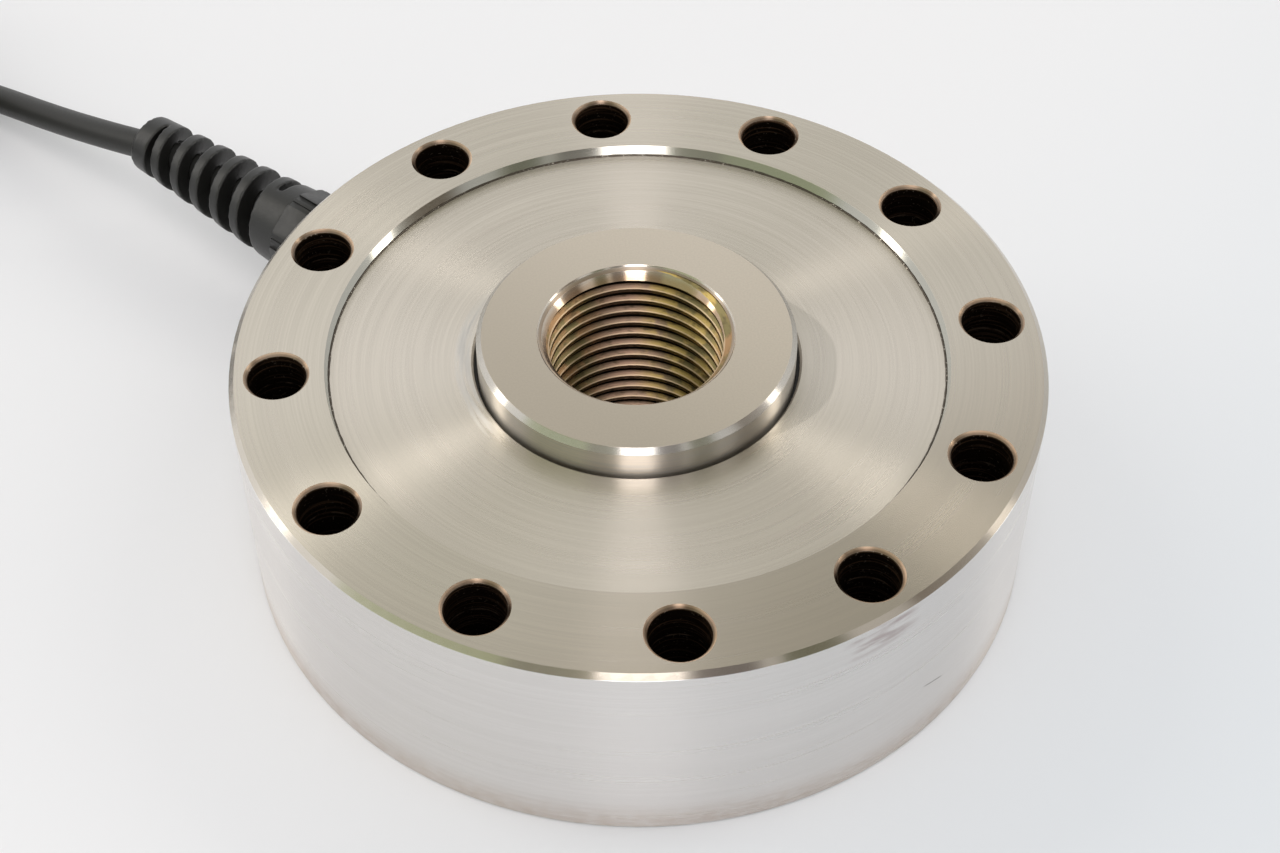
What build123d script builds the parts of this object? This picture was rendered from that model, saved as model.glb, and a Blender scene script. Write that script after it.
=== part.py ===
from build123d import *
import os
from math import cos, hypot, pi, radians, sin, tan

os.makedirs("parts", exist_ok=True)

# Outer ring: its axis is Z, and its base lies on z = 0
ring_diameter = 153.0
ring_height = 45.0
rim_chamfer = 1.0
base_edge_chamfer = 0.4

# Bolt holes through the ring, the first one on +X
bolt_circle_diameter = 135.0
bolt_count = 12
bolt_hole_diameter = 11.0
bolt_hole_chamfer = 0.7
bolt_hole_base_chamfer = 0.4

# Centre hub with an M36 x 3 thread, drawn at the thread's minor diameter
hub_diameter = 60.0
hub_rise = 4.0
hub_edge_chamfer = 1.0
hub_base_gap = 1.0
thread_minor_diameter = 32.75
thread_mouth_diameter = 37.2

# Covers let into both faces of the ring, each on a ledge
cover_seat_diameter = 116.1
top_recess_depth = 2.0
top_recess_draft = 0.55
top_cover_thickness = 2.5
top_cover_gap = 0.75
bottom_recess_depth = 0.5
bottom_cover_thickness = 2.0
cover_edge_chamfer = 0.4
cover_fit_gap = 0.05
weld_width = 0.5
weld_height = 0.35

# Shear webs between hub and ring, with a pocket between each two
chamber_diameter = 108.0
chamber_chamfer = 1.5
web_height = 21.0
web_count = 8
web_thickness = 7.0
pocket_inner_diameter = 68.0
pocket_outer_diameter = 102.0
pocket_corner_radius = 4.0

# Rubber seal under the top cover, round the hub
seal_height = 3.0
seal_width = 3.0
seal_fit_gap = 0.1

# Strain gauges on both sides of every web, each under a silicone pad
gauge_end_gap = 0.7
gauge_length = 8.0
gauge_height = 7.0
gauge_thickness = 0.3
pad_thickness = 1.0
pad_margin = 0.5
gauge_lead_width = 1.2
gauge_lead_thickness = 0.6

# Terminal board: a ring on top of the webs
board_inner_diameter = 72.0
board_outer_diameter = 100.0
board_thickness = 1.6
resistor_length = 3.2
resistor_width = 1.6
resistor_height = 0.8
terminal_radius = 38.0
terminal_diameter = 1.4
terminal_height = 2.0
terminal_pitch = 2.6
lead_window_radius = 41.4
lead_window_depth = 4.4
lead_window_width = 15.0

# Cable and its five cores
cable_diameter = 6.5
cable_fit_gap = 0.05
jacket_end_radius = 49.0
core_diameter = 1.2
core_names = ("core_red", "core_black", "core_green", "core_white", "shield_wire")
core_circle_diameter = 3.2

# Cable gland, level with the middle of the ring and midway between two bolt holes
gland_angle = 135.0
gland_height = ring_height / 2
gland_thread_diameter = 16.0
gland_thread_length = 9.0
gland_fit_gap = 0.1
spot_face_depth = 1.1
spot_face_diameter = 25.0
gasket_thickness = 1.5
gasket_diameter = 21.0
flange_across_flats = 20.0
flange_corner_diameter = 22.4
flange_thickness = 5.0
neck_diameter = 15.2
neck_length = 10.0
gland_bore_diameter = 7.1
claw_seat_depth = 12.0
claw_diameter = 12.6
claw_wall = 1.2
claw_stand_out = 1.2
claw_slot_count = 8
claw_slot_width = 1.0
claw_root_length = 2.5
bush_end_gap = 1.0

# Gland nut with a spiral bend protector in one piece with it
nut_gap = 0.6
nut_across_flats = 18.8
nut_corner_diameter = 20.0
nut_length = 9.2
nut_corner_angle = 5.5
grip_groove_width = 1.2
grip_groove_depth = 0.5
grip_groove_angle = 5.2
nut_thread_gap = 0.1
nut_chamber_gap = 0.6
collar_diameter = 18.6
collar_length = 4.6
spiral_length = 37.8
spiral_bore_diameter = 8.4
spiral_root_length = 0.8
slot_width = 3.8
slot_turns = 6
slot_lead_in = 0.6
slot_run_out = 1.2
end_ring_length = 4.5
end_ring_diameter = 12.9
mouth_diameter = 10.6
mouth_length = 4.0
mouth_edge_chamfer = 0.5

# Coil of the cable's put-away length, tied and lying beside the sensor
coil_center_x = -204.9
coil_center_y = 142.9
coil_middle_diameter = 71.5
coil_columns = 3
coil_layers = 4
coil_corner_chamfer = 2.5
lead_in_angle = 45.0
lead_in_length = 27.0
lead_in_sink = 0.5
approach_length = 10.5
tie_angles = (65.0, 240.0, 330.0)
tie_width = 4.8
tie_thickness = 1.2
tie_gap = 0.3
tie_head_width = 6.0
tie_head_height = 4.0

# Far end of the cable on top of the coil: cable, shrink sleeve, cores and their tinned ends
tail_start_angle = 100.0
tail_angle = 55.0
sleeve_angle = 18.0
sleeve_wall = 0.5
core_spread = 2.5
core_rest_gap = 0.05
core_start_angle = 0.4
tinned_length = 7.0
tinned_diameter = 0.9

# Steps of the cores inside the sensor: shares of the way inwards, of the fan and of the rise
inner_lead_steps = [(0.0, 0.0, 0.0), (0.9, 0.3, 0.12), (1.0, 1.0, 1.0)]

# Steps of the cores past the sleeve's mouth: degrees round the coil, shares of the fan and of the drop
core_steps = [(1.0, 0.0, 0.0), (12.0, 0.4, 0.45), (25.0, 0.9, 1.0), (39.0, 1.0, 1.0), (52.0, 1.15, 1.0)]

# Route of the cable from inside the spiral towards the coil, chosen by hand
cable_route = [
    (-83.44, 83.44, 22.5),
    (-90.51, 90.51, 22.5),
    (-98.29, 97.72, 21.7),
    (-108.26, 106.28, 18.6),
    (-122.20, 119.80, 13.6),
    (-137.50, 135.30, 8.6),
]

# Counts, radii and heights that follow
core_count = len(core_names)
ring_radius = ring_diameter / 2
hub_radius = hub_diameter / 2
thread_radius = thread_minor_diameter / 2
mouth_radius = thread_mouth_diameter / 2
seat_radius = cover_seat_diameter / 2
chamber_radius = chamber_diameter / 2
hub_top = ring_height + hub_rise
top_cover_face = ring_height - top_recess_depth
top_ledge = top_cover_face - top_cover_thickness
bottom_ledge = bottom_recess_depth + bottom_cover_thickness
hub_base = bottom_ledge + hub_base_gap
web_middle = ring_height / 2
web_base = web_middle - web_height / 2
web_top = web_middle + web_height / 2
pad_end_radius = pocket_outer_diameter / 2 - pocket_corner_radius - gauge_end_gap
gauge_radius = pad_end_radius - pad_margin - gauge_length / 2
board_top = web_top + board_thickness
cable_radius = cable_diameter / 2

# Places along the gland's axis, measured from the ring's axis
spot_face = ring_radius - spot_face_depth
flange_start = spot_face + gasket_thickness
flange_end = flange_start + flange_thickness
neck_end = flange_end + neck_length
claw_seat = neck_end - claw_seat_depth
claw_end = neck_end + claw_stand_out
nut_start = flange_end + nut_gap
nut_end = nut_start + nut_length
spiral_start = nut_end + collar_length
bore_start = spiral_start - spiral_root_length
spiral_end = spiral_start + spiral_length
boot_end = spiral_end + end_ring_length
mouth_start = boot_end - mouth_length

# Levels in the coil
coil_base = tie_thickness + tie_gap
coil_top = coil_base + coil_layers * cable_diameter
coil_half_width = coil_columns * cable_diameter / 2
coil_radius = coil_middle_diameter / 2
coil_middle = (coil_base + coil_top) / 2
tail_height = coil_top + cable_fit_gap + sleeve_wall + cable_radius
tail_end_angle = tail_start_angle + tail_angle

on_its_base = (Align.CENTER, Align.CENTER, Align.MIN)
gland_frame = Plane(
    origin=(0, 0, gland_height),
    x_dir=(0, 0, 1),
    z_dir=(cos(radians(gland_angle)), sin(radians(gland_angle)), 0),
)


def turned(points):
    """A piece turned from a closed outline of (radius, height) points."""
    outline = make_face(Polyline(*points, close=True))
    return revolve(Plane.XZ * outline, Axis.Z)


def tube(inner_radius, outer_radius, start, end):
    """A straight sleeve along Z."""
    return turned([
        (inner_radius, start), (outer_radius, start), (outer_radius, end), (inner_radius, end),
    ])


def rod(radius, start, end):
    """A straight round bar along Z."""
    return Pos(0, 0, start) * Cylinder(radius, end - start, align=on_its_base)


def hexagon_bar(across_flats, corner_diameter, start, end):
    """A hexagon bar along Z with its corners turned down, one corner on X."""
    outline = RegularPolygon(across_flats / 2, 6, major_radius=False, rotation=0)
    bar = Pos(0, 0, start) * extrude(outline, end - start)
    return bar & rod(corner_diameter / 2, start, end)


def on_gland_axis(shape):
    """Moves a piece built along Z to the gland's axis, with its X side up."""
    return gland_frame.location * shape


def around(count, first_angle=0.0):
    """Equal angles round a circle, in degrees."""
    return [first_angle + 360.0 * index / count for index in range(count)]


def body_outline():
    """The sensor body's turned section: hub, web and ring in one outline."""
    points = [
        (thread_radius, hub_base),
        (hub_radius, hub_base),
        (hub_radius, web_base),
        (chamber_radius, web_base),
        (chamber_radius, bottom_ledge),
        (seat_radius, bottom_ledge),
        (seat_radius, 0),
        (ring_radius - base_edge_chamfer, 0),
        (ring_radius, base_edge_chamfer),
        (ring_radius, ring_height - rim_chamfer),
        (ring_radius - rim_chamfer, ring_height),
        (seat_radius + top_recess_draft, ring_height),
        (seat_radius, top_cover_face),
        (seat_radius, top_ledge),
        (chamber_radius, top_ledge),
        (chamber_radius, web_top),
        (hub_radius, web_top),
        (hub_radius, hub_top - hub_edge_chamfer),
        (hub_radius - hub_edge_chamfer, hub_top),
        (mouth_radius, hub_top),
        (thread_radius, hub_top - mouth_radius + thread_radius),
    ]
    outline = make_face(Polyline(*points, close=True))
    web_corners = outline.vertices().filter_by_position(Axis.Y, web_base, web_top)
    return chamfer(web_corners, chamber_chamfer)


def web_pockets():
    """The pockets between the webs, one opposite the gland."""
    ring = Circle(pocket_outer_diameter / 2) - Circle(pocket_inner_diameter / 2)
    web = Rectangle(pocket_outer_diameter, web_thickness, align=(Align.MIN, Align.CENTER))
    webs = [Rot(0, 0, angle) * web for angle in web_angles()]
    pockets = ring - webs
    pockets = fillet(pockets.vertices(), pocket_corner_radius)
    return Pos(0, 0, web_base) * extrude(pockets, web_height)


def web_angles():
    """Directions of the webs; the gland's axis runs midway between two."""
    return around(web_count, gland_angle + 180.0 / web_count)


def bolt_hole():
    """One chamfered bolt hole, as the solid that it removes."""
    radius = bolt_hole_diameter / 2
    top = bolt_hole_chamfer
    base = bolt_hole_base_chamfer
    return turned([
        (0, 0), (radius + base, 0), (radius, base),
        (radius, ring_height - top), (radius + top, ring_height), (0, ring_height),
    ])


def gland_port():
    """Spot face, threaded port and cable passage in the ring's wall."""
    face = rod(spot_face_diameter / 2, spot_face, ring_radius)
    port = rod(gland_thread_diameter / 2, spot_face - gland_thread_length - gland_fit_gap, spot_face)
    passage = rod(gland_bore_diameter / 2, pocket_inner_diameter / 2, spot_face)
    return on_gland_axis(face + port + passage)


def sensor_body():
    """Ring, shear webs and threaded hub, turned and milled from one bar."""
    body = revolve(Plane.XZ * body_outline(), Axis.Z)
    body -= web_pockets()
    hole = bolt_hole()
    for angle in around(bolt_count):
        body -= Rot(0, 0, angle) * Pos(bolt_circle_diameter / 2, 0, 0) * hole
    return body - gland_port()


def top_cover():
    """Ring plate between the outer ring and the hub."""
    outer = seat_radius - cover_fit_gap
    inner = hub_radius + top_cover_gap
    edge = cover_edge_chamfer
    return turned([
        (inner, top_ledge), (outer, top_ledge), (outer, top_cover_face),
        (inner + edge, top_cover_face), (inner, top_cover_face - edge),
    ])


def bottom_cover():
    """Full disc that closes the webs and the hub from below."""
    return rod(seat_radius - cover_fit_gap, bottom_recess_depth, bottom_ledge)


def top_cover_weld():
    """Weld bead in the corner between the top cover and the recess wall."""
    wall_slope = top_recess_draft / top_recess_depth
    foot = top_cover_face
    return turned([
        (seat_radius - weld_width, foot), (seat_radius, foot),
        (seat_radius + weld_height * wall_slope, foot + weld_height),
    ])


def bottom_cover_weld():
    """Weld bead in the corner between the bottom cover and the ring."""
    return turned([
        (seat_radius - weld_width, bottom_recess_depth), (seat_radius, bottom_recess_depth),
        (seat_radius, bottom_recess_depth - weld_height),
    ])


def hub_seal():
    """Rubber ring that closes the gap between hub and top cover from inside."""
    inner = hub_radius + seal_fit_gap
    return tube(inner, inner + seal_width, top_ledge - seal_height, top_ledge)


def on_web_sides(shape_for_side):
    """Puts a shape on both sides of every web, at the middle of its length."""
    shapes = []
    for angle in web_angles():
        for side in (1, -1):
            place = Rot(0, 0, angle) * Pos(gauge_radius, 0, web_middle)
            shapes.append(place * shape_for_side(side))
    return Compound(children=shapes)


def strain_gauges():
    """Foil gauges with their backing and solder tabs."""
    offset = web_thickness / 2 + gauge_thickness / 2
    gauge = Box(gauge_length, gauge_thickness, gauge_height)
    return on_web_sides(lambda side: Pos(0, side * offset, 0) * gauge)


def gauge_pads():
    """Silicone pads that protect the gauges."""
    offset = web_thickness / 2 + gauge_thickness + pad_thickness / 2
    length = gauge_length + 2 * pad_margin
    height = gauge_height + 2 * pad_margin
    pad = Box(length, pad_thickness, height)
    return on_web_sides(lambda side: Pos(0, side * offset, 0) * pad)


def gauge_leads():
    """Flat twin leads from the pads up to the terminal board."""
    offset = web_thickness / 2 + gauge_thickness + gauge_lead_thickness / 2
    start = gauge_height / 2 + pad_margin
    length = web_height / 2 - start
    lead = Box(gauge_lead_width, gauge_lead_thickness, length, align=on_its_base)
    return on_web_sides(lambda side: Pos(0, side * offset, start) * lead)


def terminal_board():
    """Ring-shaped circuit board on top of the webs, with a window for the cable's cores."""
    board = tube(board_inner_diameter / 2, board_outer_diameter / 2, web_top, board_top)
    window = Box(lead_window_depth, lead_window_width, 2 * board_thickness)
    window = Pos(lead_window_radius, 0, web_top + board_thickness / 2) * window
    return board - Rot(0, 0, gland_angle) * window


def trimming_resistors():
    """Zero, span and temperature resistors on the board, one over each web."""
    radius = (board_inner_diameter + board_outer_diameter) / 4
    chip = Box(resistor_width, resistor_length, resistor_height, align=on_its_base)
    return Compound(children=[Rot(0, 0, angle) * Pos(radius, 0, board_top) * chip for angle in web_angles()])


def terminal_pins():
    """Solder pins in a row, one for each core of the cable."""
    pin = rod(terminal_diameter / 2, board_top, board_top + terminal_height)
    pins = [Pos(terminal_radius, fan_place(index, terminal_pitch), 0) * pin for index in range(core_count)]
    return Rot(0, 0, gland_angle) * Compound(children=pins)


def route_tube(points, diameter):
    """A round tube along straight runs joined by tangent arcs."""
    path = rounded_route(points)
    section = Plane(origin=path @ 0, z_dir=path % 0) * Circle(diameter / 2)
    return sweep(section, path=path)


def corner_radii(points):
    """The arc radius at each corner: 0.45 of the shorter run over tan of half the turn."""
    places = [Vector(*point) for point in points]
    radii = []
    for before, corner, after in zip(places, places[1:], places[2:]):
        turn = (corner - before).get_angle(after - corner)
        run = min((corner - before).length, (after - corner).length)
        radii.append(0.45 * run / tan(radians(turn / 2)))
    return radii


def rounded_route(points):
    """The centre line of a cord through points chosen by hand."""
    return FilletPolyline(*points, radius=corner_radii(points))


def core_offset(index):
    """Place of one core in the cable's section, as (across, up)."""
    angle = radians(90.0 + 360.0 * index / core_count)
    return core_circle_diameter / 2 * cos(angle), core_circle_diameter / 2 * sin(angle)


def between(start, end, share):
    """The value that lies the given share of the way from start to end."""
    return start + share * (end - start)


def fan_place(index, pitch):
    """Place of one core across a fan in which the cores keep their order."""
    order = sorted(range(core_count), key=lambda core: core_offset(core)[0])
    return pitch * (order.index(index) - (core_count - 1) / 2)


def inner_lead(index):
    """One core from the end of the jacket up through the board's window to its pin."""
    across, up = core_offset(index)
    fan = fan_place(index, terminal_pitch)
    points = []
    for inwards, spread, rise in inner_lead_steps:
        radius = between(jacket_end_radius, lead_window_radius, inwards)
        height = between(gland_height + up, web_top, rise)
        points.append((radius, between(across, fan, spread), height))
    beside_pin = terminal_radius + (terminal_diameter + core_diameter) / 2 + core_rest_gap
    points.append((beside_pin, fan, board_top + terminal_height - core_diameter / 2))
    return route_tube(points, core_diameter)


def inner_leads():
    """The cable's five cores inside the sensor."""
    return Rot(0, 0, gland_angle) * Compound(children=[inner_lead(index) for index in range(core_count)])


def gland_body():
    """Threaded body with hexagon flange and nut thread."""
    thread = rod(gland_thread_diameter / 2 - gland_fit_gap, spot_face - gland_thread_length, flange_start)
    flange = hexagon_bar(flange_across_flats, flange_corner_diameter, flange_start, flange_end)
    neck = rod(neck_diameter / 2, flange_end, neck_end)
    bore = rod(gland_bore_diameter / 2, spot_face - gland_thread_length, claw_seat)
    seat = rod(claw_diameter / 2 + gland_fit_gap, claw_seat, neck_end)
    return on_gland_axis(thread + flange + neck - bore - seat)


def gland_gasket():
    """Flat gasket between the flange and the spot face."""
    return on_gland_axis(tube(gland_thread_diameter / 2, gasket_diameter / 2, spot_face, flange_start))


def clamping_claw():
    """Slotted cage that the nut closes round the sealing bush."""
    outer = claw_diameter / 2
    cage = tube(outer - claw_wall, outer, claw_seat, claw_end)
    length = claw_end - claw_seat - claw_root_length
    slot = Box(claw_diameter, claw_slot_width, length, align=(Align.MIN, Align.CENTER, Align.MAX))
    for angle in around(claw_slot_count):
        cage -= Pos(0, 0, claw_end) * Rot(0, 0, angle) * slot
    return on_gland_axis(cage)


def sealing_bush():
    """Rubber bush between the claw and the cable."""
    outer = claw_diameter / 2 - claw_wall - cable_fit_gap
    return on_gland_axis(tube(cable_radius + cable_fit_gap, outer, claw_seat, claw_end - bush_end_gap))


def nut_grip():
    """The nut's hexagon with two grip grooves in each turned corner."""
    grip = hexagon_bar(nut_across_flats, nut_corner_diameter, nut_start, nut_end)
    groove = Box(2 * grip_groove_depth, grip_groove_width, nut_length, align=on_its_base)
    groove = Pos(nut_corner_diameter / 2, 0, nut_start) * groove
    for corner in around(6):
        for angle in (corner - grip_groove_angle, corner + grip_groove_angle):
            grip -= Rot(0, 0, angle) * groove
    return Rot(0, 0, nut_corner_angle) * grip


def boot_cone():
    """Collar and spiral before the slot is cut: one long cone with its end's edge broken."""
    end_radius = end_ring_diameter / 2
    edge = mouth_edge_chamfer
    return turned([
        (0, nut_end), (collar_diameter / 2, nut_end), (end_radius, boot_end - edge),
        (end_radius - edge, boot_end), (0, boot_end),
    ])


def nut_bore():
    """Everything inside the nut: thread, claw chamber, cable bore and flared mouth."""
    thread = neck_diameter / 2 + nut_thread_gap
    chamber_end = neck_end + nut_chamber_gap
    cone_start = thread - nut_chamber_gap
    bore = spiral_bore_diameter / 2
    return turned([
        (0, nut_start), (thread, nut_start), (thread, chamber_end), (cone_start, chamber_end),
        (bore, bore_start), (bore, mouth_start), (mouth_diameter / 2, boot_end), (0, boot_end),
    ])


def spiral_slot():
    """The slot that makes the boot a spiral, cut off square at both ends."""
    pitch = (slot_lead_in + spiral_length + slot_run_out) / slot_turns
    inner = cable_radius
    outer = collar_diameter / 2 + slot_width / 2
    helix = Helix(pitch=pitch, height=pitch * slot_turns, radius=(inner + outer) / 2)
    path = Pos(0, 0, spiral_start - slot_lead_in) * helix
    section = Plane(origin=path @ 0, x_dir=(1, 0, 0), z_dir=path % 0) * Rectangle(outer - inner, slot_width)
    slot = sweep(section, path=path, is_frenet=True)
    return slot & rod(outer + slot_width, spiral_start, spiral_end)


def gland_nut():
    """Dome nut and spiral bend protector, moulded in one piece."""
    return on_gland_axis(nut_grip() + boot_cone() - nut_bore() - spiral_slot())


def cable_in_gland():
    """The clamped stretch of cable, from its jacket's end to inside the spiral."""
    start = hypot(*cable_route[0][:2])
    return on_gland_axis(rod(cable_radius, jacket_end_radius, start))


def coil_point(angle, radius, height):
    """A point over the coil from its angle in degrees, its radius and its height."""
    return (
        coil_center_x + radius * cos(radians(angle)),
        coil_center_y + radius * sin(radians(angle)),
        height,
    )


def lead_in_point(distance):
    """A point on the straight line on which the cable joins the coil's outer turn."""
    outer_turn = coil_radius + coil_half_width - cable_radius - lead_in_sink
    x, y, height = coil_point(lead_in_angle, outer_turn, coil_base + cable_radius + lead_in_sink)
    angle = radians(lead_in_angle)
    return x + distance * sin(angle), y - distance * cos(angle), height


def free_cable_route():
    """The chosen points, then the last run in line with the coil's lead-in."""
    return cable_route + [lead_in_point(lead_in_length + approach_length), lead_in_point(lead_in_length)]


def cable():
    """The stretch of cable that lies free between the spiral and the coil."""
    return route_tube(free_cable_route(), cable_diameter)


def coil_section():
    """The coil's section at its place beside the coil's upright axis."""
    section = Rectangle(2 * coil_half_width, coil_layers * cable_diameter)
    section = chamfer(section.vertices(), coil_corner_chamfer)
    return Plane.XZ * Pos(coil_radius, coil_middle) * section


def on_coil(shape, angle=0.0):
    """Moves a piece built round the Z axis to the coil, turned by an angle."""
    return Pos(coil_center_x, coil_center_y, 0) * Rot(0, 0, angle) * shape


def cable_coil():
    """The outer shape of all turns, with the lead-in of its outer turn."""
    start = Vector(*lead_in_point(lead_in_length))
    along = Vector(*lead_in_point(0)) - start
    lead_in = Plane(origin=start, z_dir=along) * rod(cable_radius, 0, lead_in_length)
    return on_coil(revolve(coil_section(), Axis.Z)) + lead_in


def tie_band(reach):
    """The outline of a tie round the coil's section, so much larger than the section."""
    width = 2 * (coil_half_width + reach)
    height = coil_layers * cable_diameter + 2 * reach
    return RectangleRounded(width, height, coil_corner_chamfer + reach)


def coil_ties():
    """Nylon ties round the coil, with their heads outside."""
    band = tie_band(tie_gap + tie_thickness) - tie_band(tie_gap)
    strap = extrude(Plane.XZ * Pos(coil_radius, coil_middle) * band, tie_width / 2, both=True)
    strap_face = coil_radius + coil_half_width + tie_gap + tie_thickness
    head = Pos(strap_face, 0, coil_middle) * Box(
        tie_head_height, tie_head_width, tie_head_width, align=(Align.MIN, Align.CENTER, Align.CENTER)
    )
    return Compound(children=[on_coil(strap + head, angle) for angle in tie_angles])


def bent_on_coil(section, start_angle, span):
    """A section carried along the coil's middle turn, on top of the coil."""
    placed = Plane.XZ * Pos(coil_radius, tail_height) * section
    return on_coil(revolve(placed, Axis.Z, span), start_angle)


def cable_tail():
    """The cable's last stretch, on top of the coil."""
    return bent_on_coil(Circle(cable_radius), tail_start_angle, tail_angle)


def shrink_sleeve():
    """Heat-shrink sleeve over the end of the jacket."""
    bore = cable_radius + cable_fit_gap
    section = Circle(bore + sleeve_wall) - Circle(bore)
    return bent_on_coil(section, tail_end_angle - sleeve_angle / 2, sleeve_angle)


def core_route(index):
    """One core's points, from the jacket's end through the sleeve and down onto the coil."""
    across, up = core_offset(index)
    fan = fan_place(index, core_spread)
    resting = coil_top + core_rest_gap + core_diameter / 2
    sleeve_mouth = tail_end_angle + sleeve_angle / 2
    points = [coil_point(tail_end_angle + core_start_angle, coil_radius + across, tail_height + up)]
    for angle, spread, drop in core_steps:
        radius = coil_radius + between(across, fan, spread)
        points.append(coil_point(sleeve_mouth + angle, radius, between(tail_height + up, resting, drop)))
    return points


def core(index):
    """One coloured core of the cable."""
    return route_tube(core_route(index), core_diameter)


def tinned_ends():
    """The stripped and tinned ends of the cores, on their last lines."""
    ends = []
    for index in range(core_count):
        before, last = (Vector(*point) for point in core_route(index)[-2:])
        ends.append(Plane(origin=last, z_dir=last - before) * rod(tinned_diameter / 2, 0, tinned_length))
    return Compound(children=ends)


def report_cord(name, points):
    """Prints a cord's bend radii and compares its volume with its section times its length."""
    radii = ", ".join(f"{radius:.0f}" for radius in corner_radii(points))
    length = rounded_route(points).length
    ratio = route_tube(points, cable_diameter).volume / (pi * cable_radius ** 2 * length)
    print(f"{name}: length {length:.1f}, volume ratio {ratio:.5f}, bend radii {radii}")


pieces = {
    "sensor_body": sensor_body,
    "top_cover": top_cover,
    "bottom_cover": bottom_cover,
    "top_cover_weld": top_cover_weld,
    "bottom_cover_weld": bottom_cover_weld,
    "hub_seal": hub_seal,
    "strain_gauges": strain_gauges,
    "gauge_pads": gauge_pads,
    "gauge_leads": gauge_leads,
    "terminal_board": terminal_board,
    "trimming_resistors": trimming_resistors,
    "terminal_pins": terminal_pins,
    "inner_leads": inner_leads,
    "gland_body": gland_body,
    "gland_gasket": gland_gasket,
    "clamping_claw": clamping_claw,
    "sealing_bush": sealing_bush,
    "gland_nut": gland_nut,
    "cable_in_gland": cable_in_gland,
    "cable": cable,
    "cable_coil": cable_coil,
    "coil_ties": coil_ties,
    "cable_tail": cable_tail,
    "shrink_sleeve": shrink_sleeve,
    "tinned_ends": tinned_ends,
}
for name, make in pieces.items():
    export_step(make(), f"parts/{name}.step")
for index, name in enumerate(core_names):
    export_step(core(index), f"parts/{name}.step")
report_cord("cable", free_cable_route())
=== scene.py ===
from math import atan2, cos, degrees, hypot, pi, radians, sin

import bmesh
import bpy
from bpy.props import FloatProperty, FloatVectorProperty, PointerProperty
from mathutils import Matrix, Vector


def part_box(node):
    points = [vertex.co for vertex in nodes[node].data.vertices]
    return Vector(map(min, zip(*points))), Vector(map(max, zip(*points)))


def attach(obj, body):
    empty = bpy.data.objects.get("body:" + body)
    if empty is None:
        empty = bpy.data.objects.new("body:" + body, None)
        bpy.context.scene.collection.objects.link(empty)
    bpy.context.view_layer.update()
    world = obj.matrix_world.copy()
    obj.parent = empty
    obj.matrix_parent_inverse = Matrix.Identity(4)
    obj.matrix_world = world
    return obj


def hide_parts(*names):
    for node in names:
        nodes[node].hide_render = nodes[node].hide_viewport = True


bl_info = {
    "name": "Pancake Load Cell",
    "version": (1, 0, 0),
    "blender": (4, 5, 0),
    "location": "View3D > Sidebar > Load Cell",
    "description": "Dresses the load cell's frame",
    "category": "Object",
}

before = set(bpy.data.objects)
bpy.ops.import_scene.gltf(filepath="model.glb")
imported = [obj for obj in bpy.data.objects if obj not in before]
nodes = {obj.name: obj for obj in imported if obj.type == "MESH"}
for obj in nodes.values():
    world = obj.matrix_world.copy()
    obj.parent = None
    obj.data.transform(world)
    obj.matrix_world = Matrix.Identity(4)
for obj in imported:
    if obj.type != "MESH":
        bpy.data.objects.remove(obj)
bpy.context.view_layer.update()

MM = 0.001
BODY_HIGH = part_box("sensor_body")[1]
RING_RADIUS = BODY_HIGH.x
RING_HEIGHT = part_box("gland_body")[1].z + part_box("gland_body")[0].z
HUB_TOP = BODY_HIGH.z
HUB_RADIUS = 30 * MM
COVER_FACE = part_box("top_cover")[1].z
GLAND_HEIGHT = RING_HEIGHT / 2
GLAND_ANGLE = radians(135)
COIL_LOW, COIL_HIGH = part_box("cable_coil")
COIL_COLUMNS = 3
COIL_TURNS = 11
TAIL_RISE = 3.8 * MM  # from the coil's top to the middle of the cable's end
SLEEVE_REACH = radians(9)  # from the jacket's end to the sleeve's mouth
LAMP_DISTANCE = 2.0

# Places on the sensor body

BOLT_COUNT = 12
BOLT_CIRCLE_RADIUS = 67.5 * MM
HOLE_RADIUS = 5.5 * MM
HOLE_MOUTH_RADIUS = 6.2 * MM
BORE_MOUTH_RADIUS = 18.6 * MM
LIP_INSIDE, LIP_OUTSIDE = 58.0 * MM, 58.7 * MM

# Colours of heat, wear and dirt on the steel, and of light and shade painted on it

THREAD_OLIVE = (0.25, 0.21, 0.10)
THREAD_BRONZE = (0.44, 0.27, 0.14)
THREAD_ROSE = (0.38, 0.25, 0.19)
# gold of the painted highlight on the thread's right side
THREAD_GOLD_HIGHLIGHT = (0.56, 0.42, 0.15)
THREAD_DIRT = (0.11, 0.085, 0.05)
# painted highlight on the thread's worn crest edges
THREAD_EDGE_HIGHLIGHT = (0.72, 0.56, 0.38)
# painted shade in the thread's root
THREAD_ROOT_SHADE = (0.012, 0.008, 0.005)
GROOVE = (0.35, 0.32, 0.28)
# darker painted reflection of the hub in the cover
HUB_REFLECTION_SHADE = (0.35, 0.33, 0.29)
CLOUD = (0.86, 0.85, 0.83)
# painted shade on the recess's narrow lip
LIP_PAINTED_SHADE = (0.46, 0.45, 0.40)
HUB_SIDE = (0.58, 0.56, 0.52)
# painted light on the hub face's back right
HUB_PAINTED_LIGHT = (0.67, 0.60, 0.51)
HUB_GRAIN = (0.36, 0.32, 0.27)
WALL_FOOT = (0.55, 0.46, 0.39)
WALL_SMEAR = (0.42, 0.33, 0.32)
WALL_GROOVE = (0.4, 0.38, 0.36)
SCRATCH = (0.05, 0.045, 0.04)
HOLE_EDGE = (0.22, 0.13, 0.07)
# painted shade inside the bolt holes
HOLE_PAINTED_SHADE = (0.03, 0.019, 0.011)
HOLE_LEDGE = (0.42, 0.31, 0.22)
HOLE_SPECK = (0.36, 0.30, 0.24)
WELD_DARK = (0.10, 0.085, 0.07)
WELD_SPOT = (0.5, 0.46, 0.40)


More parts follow.
